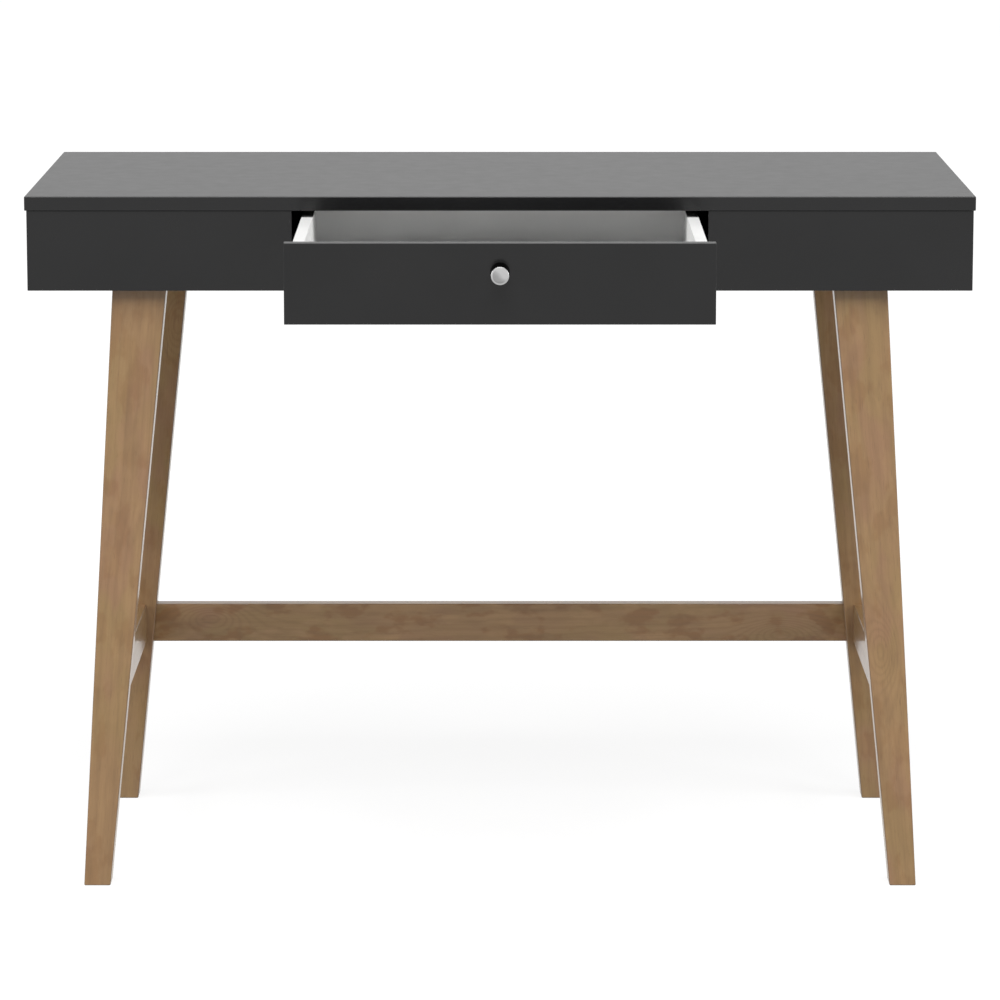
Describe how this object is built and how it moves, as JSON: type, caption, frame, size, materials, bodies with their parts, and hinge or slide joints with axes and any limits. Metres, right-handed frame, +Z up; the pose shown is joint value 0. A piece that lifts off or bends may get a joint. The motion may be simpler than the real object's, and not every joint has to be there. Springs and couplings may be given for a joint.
{
  "type": "writing desk with drawer",
  "caption": "Writing desk with a thin painted box top, one central roller-runner drawer with a round knob, tapered raked wooden legs and low stretchers.",
  "frame": {"origin": "on the floor, at the middle of the whole outline with the drawer standing open", "axes": "+Z up, +X to the sitter's right along the desk's width, -Y out of the drawer towards the sitter"},
  "size_m": [1, 0.73, 0.75],
  "materials": {
    "dark_paint": "painted board, satin anthracite",
    "leg_wood": "stained hardwood under a satin lacquer",
    "drawer_white": "white melamine-faced board",
    "knob_metal": "satin chromed metal",
    "runner_steel": "white epoxy-coated pressed steel",
    "roller_nylon": "white moulded nylon",
    "fastener_steel": "zinc-plated steel",
    "dowel_wood": "plain beech"
  },
  "bodies": {
    "frame": {"back_panel": "dark_paint", "cross_rail": "dark_paint", "left_cabinet_roller_pin": "fastener_steel", "left_cabinet_runner": "runner_steel", "left_cabinet_runner_screw_1": "fastener_steel", "left_cabinet_runner_screw_2": "fastener_steel", "left_front_corner_dowel": "dowel_wood", "left_front_fascia": "dark_paint", "left_front_leg": "leg_wood", "left_front_leg_screw_1": "fastener_steel", "left_front_leg_screw_2": "fastener_steel", "left_front_top_dowel": "dowel_wood", "left_partition": "dark_paint", "left_rear_corner_dowel": "dowel_wood", "left_rear_leg": "leg_wood", "left_rear_leg_screw_1": "fastener_steel", "left_rear_leg_screw_2": "fastener_steel", "left_rear_top_dowel": "dowel_wood", "left_side_panel": "dark_paint", "left_side_stretcher": "leg_wood", "rear_stretcher": "leg_wood", "right_cabinet_roller_pin": "fastener_steel", "right_cabinet_runner": "runner_steel", "right_cabinet_runner_screw_1": "fastener_steel", "right_cabinet_runner_screw_2": "fastener_steel", "right_front_corner_dowel": "dowel_wood", "right_front_fascia": "dark_paint", "right_front_leg": "leg_wood", "right_front_leg_screw_1": "fastener_steel", "right_front_leg_screw_2": "fastener_steel", "right_front_top_dowel": "dowel_wood", "right_partition": "dark_paint", "right_rear_corner_dowel": "dowel_wood", "right_rear_leg": "leg_wood", "right_rear_leg_screw_1": "fastener_steel", "right_rear_leg_screw_2": "fastener_steel", "right_rear_top_dowel": "dowel_wood", "right_side_panel": "dark_paint", "right_side_stretcher": "leg_wood", "top_panel": "dark_paint"},
    "drawer": {"drawer_front": "dark_paint", "drawer_back": "drawer_white", "drawer_bottom": "drawer_white", "drawer_left_side": "drawer_white", "drawer_right_side": "drawer_white", "drawer_knob": "knob_metal", "knob_screw": "fastener_steel", "left_drawer_runner": "runner_steel", "right_drawer_runner": "runner_steel", "left_drawer_roller_pin": "fastener_steel", "right_drawer_roller_pin": "fastener_steel", "left_drawer_runner_screw_1": "fastener_steel", "left_drawer_runner_screw_2": "fastener_steel", "right_drawer_runner_screw_1": "fastener_steel", "right_drawer_runner_screw_2": "fastener_steel"},
    "left_cabinet_roller": {"left_cabinet_roller": "roller_nylon"},
    "right_cabinet_roller": {"right_cabinet_roller": "roller_nylon"},
    "left_drawer_roller": {"left_drawer_roller": "roller_nylon"},
    "right_drawer_roller": {"right_drawer_roller": "roller_nylon"}
  },
  "joints": [
    {"name": "drawer_slide", "type": "slide", "parent": "frame", "child": "drawer", "axis": [0, -1, 0], "range_m": [-0.252, 0]},
    {"name": "left_cabinet_roller_spin", "type": "hinge", "parent": "frame", "child": "left_cabinet_roller", "pos_m": [-0.21555, -0.054, 0.68515], "axis": [1, 0, 0], "range_deg": [-1606, 1]},
    {"name": "left_drawer_roller_spin", "type": "hinge", "parent": "drawer", "child": "left_drawer_roller", "pos_m": [-0.21395, 0.018, 0.68575], "axis": [1, 0, 0], "range_deg": [-1445, 1]},
    {"name": "right_cabinet_roller_spin", "type": "hinge", "parent": "frame", "child": "right_cabinet_roller", "pos_m": [0.21555, -0.054, 0.68515], "axis": [1, 0, 0], "range_deg": [-1606, 1]},
    {"name": "right_drawer_roller_spin", "type": "hinge", "parent": "drawer", "child": "right_drawer_roller", "pos_m": [0.21395, 0.018, 0.68575], "axis": [1, 0, 0], "range_deg": [-1445, 1]}
  ],
  "couplings": [
    {"joint": "left_cabinet_roller_spin", "follows": "drawer_slide", "rad_per_m": 111.11},
    {"joint": "left_drawer_roller_spin", "follows": "drawer_slide", "rad_per_m": 100},
    {"joint": "right_cabinet_roller_spin", "follows": "drawer_slide", "rad_per_m": 111.11},
    {"joint": "right_drawer_roller_spin", "follows": "drawer_slide", "rad_per_m": 100}
  ]
}
